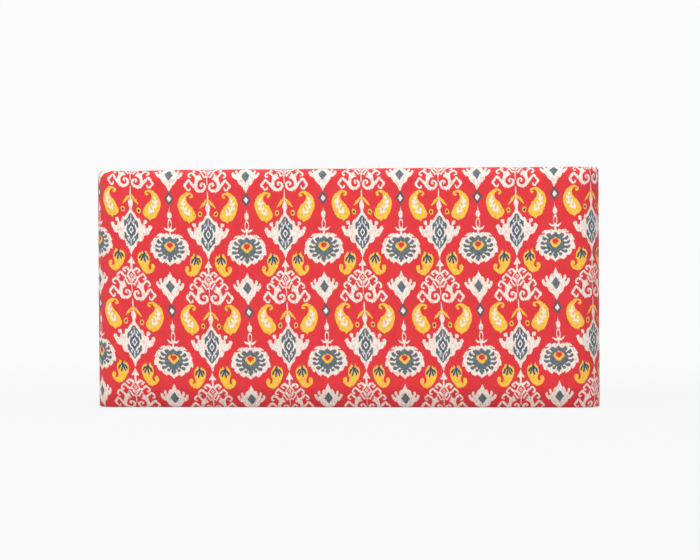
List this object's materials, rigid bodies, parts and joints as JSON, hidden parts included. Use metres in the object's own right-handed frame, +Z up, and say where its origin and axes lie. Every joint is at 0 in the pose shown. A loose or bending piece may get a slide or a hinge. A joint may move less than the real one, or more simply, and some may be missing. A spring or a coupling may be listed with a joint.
{
  "type": "upholstered bench",
  "caption": "Low block bench, fully covered in printed cloth, with a soft crowned seat, rounded upright corners, a hidden sprung timber frame and thin glides below.",
  "frame": {"origin": "on the floor, under the middle of the bench, at the base of its glides", "axes": "+X along the bench to the right as seen from the front, -Y to the front, +Z up"},
  "size_m": [0.965, 0.457, 0.465],
  "materials": {
    "cover": "printed plain-weave linen and cotton, soft matt sheen",
    "foam": "open-cell upholstery foam, cream yellow",
    "batting": "fluffy bonded polyester wadding",
    "deck": "coarse jute deck cloth",
    "dust": "black spun-bonded dust cloth",
    "timber": "planed, unfinished softwood",
    "board": "pressed hardboard",
    "strip": "stiff fibre tack strip",
    "spring_steel": "oiled spring wire, dark grey",
    "zinc": "zinc-plated steel",
    "glide": "moulded natural nylon"
  },
  "bodies": {
    "root": {"wrap_cover": "cover", "left_end_cover": "cover", "right_end_cover": "cover", "seat_foam": "foam", "front_foam": "foam", "back_foam": "foam", "left_end_foam": "foam", "right_end_foam": "foam", "batting_wrap": "batting", "left_end_batting": "batting", "right_end_batting": "batting", "deck_cloth": "deck", "dust_cover": "dust", "front_left_post": "timber", "front_right_post": "timber", "back_left_post": "timber", "back_right_post": "timber", "front_bottom_rail": "timber", "back_bottom_rail": "timber", "left_bottom_rail": "timber", "right_bottom_rail": "timber", "front_top_rail": "timber", "back_top_rail": "timber", "left_top_rail": "timber", "right_top_rail": "timber", "front_middle_post": "timber", "back_middle_post": "timber", "seat_stretcher": "timber", "floor_stretcher": "timber", "front_spring_cleat": "timber", "back_spring_cleat": "timber", "top_corner_blocks": "timber", "bottom_corner_blocks": "timber", "front_board": "board", "back_board": "board", "left_board": "board", "right_board": "board", "left_tack_strip": "strip", "right_tack_strip": "strip", "seat_spring_1": "spring_steel", "seat_spring_2": "spring_steel", "seat_spring_3": "spring_steel", "seat_spring_4": "spring_steel", "seat_spring_5": "spring_steel", "seat_spring_6": "spring_steel", "seat_spring_7": "spring_steel", "tie_wires": "spring_steel", "spring_clips": "zinc", "clip_nails": "zinc", "frame_screws": "zinc", "block_screws": "zinc", "hem_staples": "zinc", "dust_cover_staples": "zinc", "glide_nails": "zinc", "front_left_glide": "glide", "front_right_glide": "glide", "back_left_glide": "glide", "back_right_glide": "glide"}
  },
  "joints": []
}
